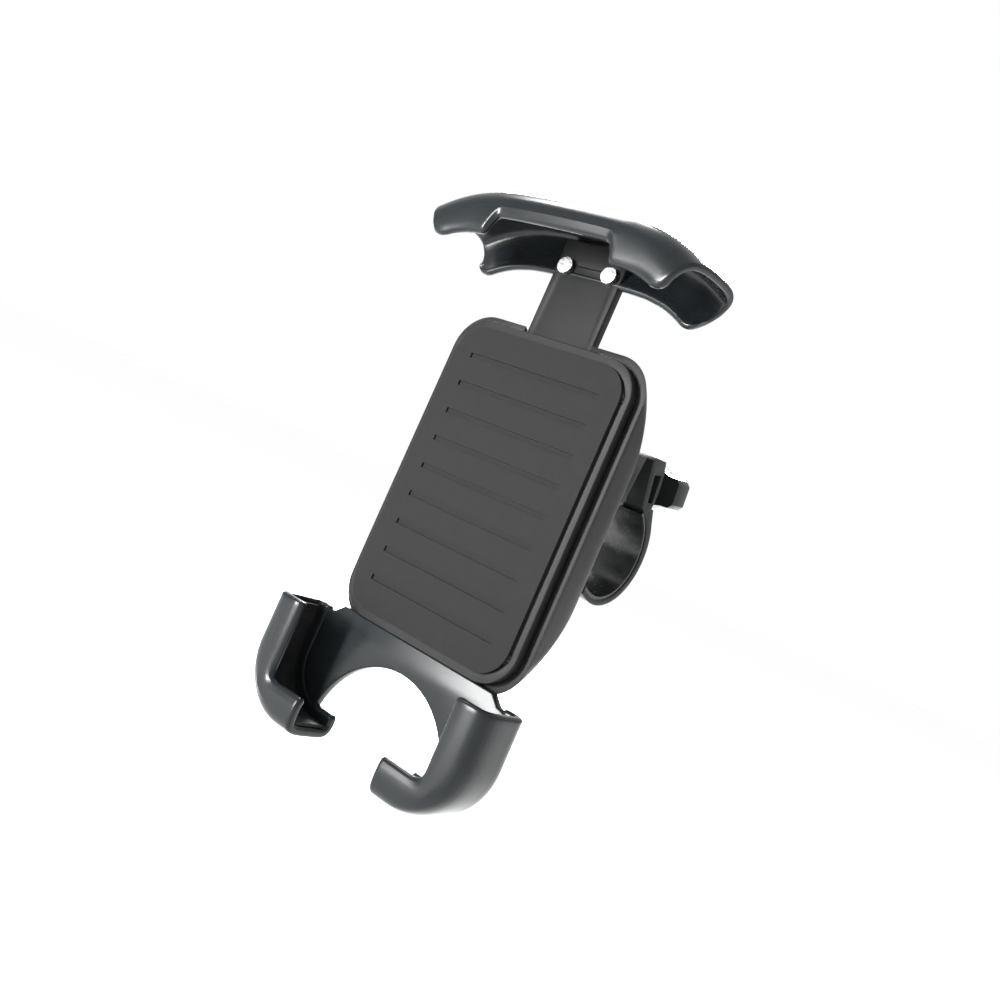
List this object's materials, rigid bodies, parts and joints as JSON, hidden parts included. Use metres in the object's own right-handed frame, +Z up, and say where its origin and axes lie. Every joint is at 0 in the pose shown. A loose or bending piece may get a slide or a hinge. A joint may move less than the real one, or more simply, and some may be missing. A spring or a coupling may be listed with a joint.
{
  "type": "phone handlebar mount",
  "caption": "Spring-jaw phone cradle on a ball joint, with a hinged strap clamp and wing knob that hold a 31.8 mm handlebar.",
  "frame": {"origin": "centre of the handlebar bore, on the bar's axis", "axes": "+X along the handlebar, +Z up the phone's long side, the phone's screen faces -Y"},
  "size_m": [0.094, 0.1073, 0.1693],
  "materials": {
    "shell_plastic": "satin gunmetal-grey moulded plastic",
    "clamp_plastic": "satin near-black glass-filled nylon",
    "dark_plastic": "fine-grained black plastic",
    "knob_plastic": "satin black plastic",
    "cup_nylon": "natural nylon",
    "rubber": "smooth black rubber",
    "steel": "bright zinc-plated steel",
    "spring_steel": "drawn spring steel",
    "brass": "turned brass"
  },
  "bodies": {
    "clamp": {"clamp_saddle": "clamp_plastic", "saddle_liner": "rubber", "ball_stud": "steel", "stud_screw": "steel", "hinge_pin": "steel", "bolt_pivot_pin": "steel"},
    "strap": {"clamp_strap": "clamp_plastic", "strap_liner": "rubber"},
    "bolt": {"swing_bolt": "steel"},
    "seat": {"knob_washer": "steel"},
    "knob": {"knob_wing": "knob_plastic", "knob_insert": "brass"},
    "cup_rear": {"ball_cup_rear": "cup_nylon"},
    "cup_front": {"ball_cup_front": "cup_nylon"},
    "cradle": {"socket_body": "dark_plastic", "housing_cover": "dark_plastic", "front_plate": "dark_plastic", "plate_screws": "steel", "back_pad": "rubber", "claw_bracket": "shell_plastic", "claw_pad_left": "rubber", "claw_pad_right": "rubber", "spring_anchor": "steel", "button_spring": "spring_steel", "tension_spring_left": "spring_steel", "tension_spring_right": "spring_steel"},
    "collar": {"collar_nut": "dark_plastic"},
    "jaw": {"top_jaw": "shell_plastic", "jaw_rail": "dark_plastic", "jaw_screws": "steel", "jaw_pad": "rubber"},
    "button": {"lock_button": "knob_plastic"}
  },
  "joints": [
    {"name": "bolt_swing", "type": "hinge", "parent": "clamp", "child": "bolt", "pos_m": [0, -0.0113, 0.0211], "axis": [1, 0, 0], "range_deg": [0, 70]},
    {"name": "seat_travel", "type": "slide", "parent": "bolt", "child": "seat", "axis": [0, 0.9903, 0.1392], "range_m": [0, 0.0048]},
    {"name": "knob_spin", "type": "hinge", "parent": "seat", "child": "knob", "pos_m": [0, 0.01841, 0.02528], "axis": [0, 0.9903, 0.1392], "range_deg": [0, 2160]},
    {"name": "strap_open", "type": "hinge", "parent": "clamp", "child": "strap", "pos_m": [0, -0.0124, -0.0189], "axis": [-1, 0, 0], "range_deg": [0, 6]},
    {"name": "cradle_tilt", "type": "hinge", "parent": "clamp", "child": "cup_rear", "pos_m": [0, -0.0338, 0], "axis": [1, 0, 0], "range_deg": [-15, 15]},
    {"name": "cradle_pan", "type": "hinge", "parent": "cup_rear", "child": "cup_front", "pos_m": [0, -0.0338, 0], "axis": [0, 0, 1], "range_deg": [-15, 15]},
    {"name": "cradle_spin", "type": "hinge", "parent": "cup_front", "child": "cradle", "pos_m": [0, -0.0338, 0], "axis": [0, 1, 0], "continuous": true},
    {"name": "collar_spin", "type": "hinge", "parent": "cradle", "child": "collar", "pos_m": [0, -0.0315, 0], "axis": [0, 1, 0], "continuous": true},
    {"name": "jaw_slide", "type": "slide", "parent": "cradle", "child": "jaw", "axis": [0, 0, 1], "range_m": [-0.014, 0.01], "deforming": ["tension_spring_left", "tension_spring_right"]},
    {"name": "button_press", "type": "slide", "parent": "cradle", "child": "button", "axis": [0, -1, 0], "range_m": [0, 0.002], "stiffness_N_per_m": 300}
  ],
  "couplings": [
    {"joint": "knob_spin", "follows": "seat_travel", "rad_per_m": 7854},
    {"joint": "strap_open", "follows": "seat_travel", "rad_per_m": 21.38}
  ]
}
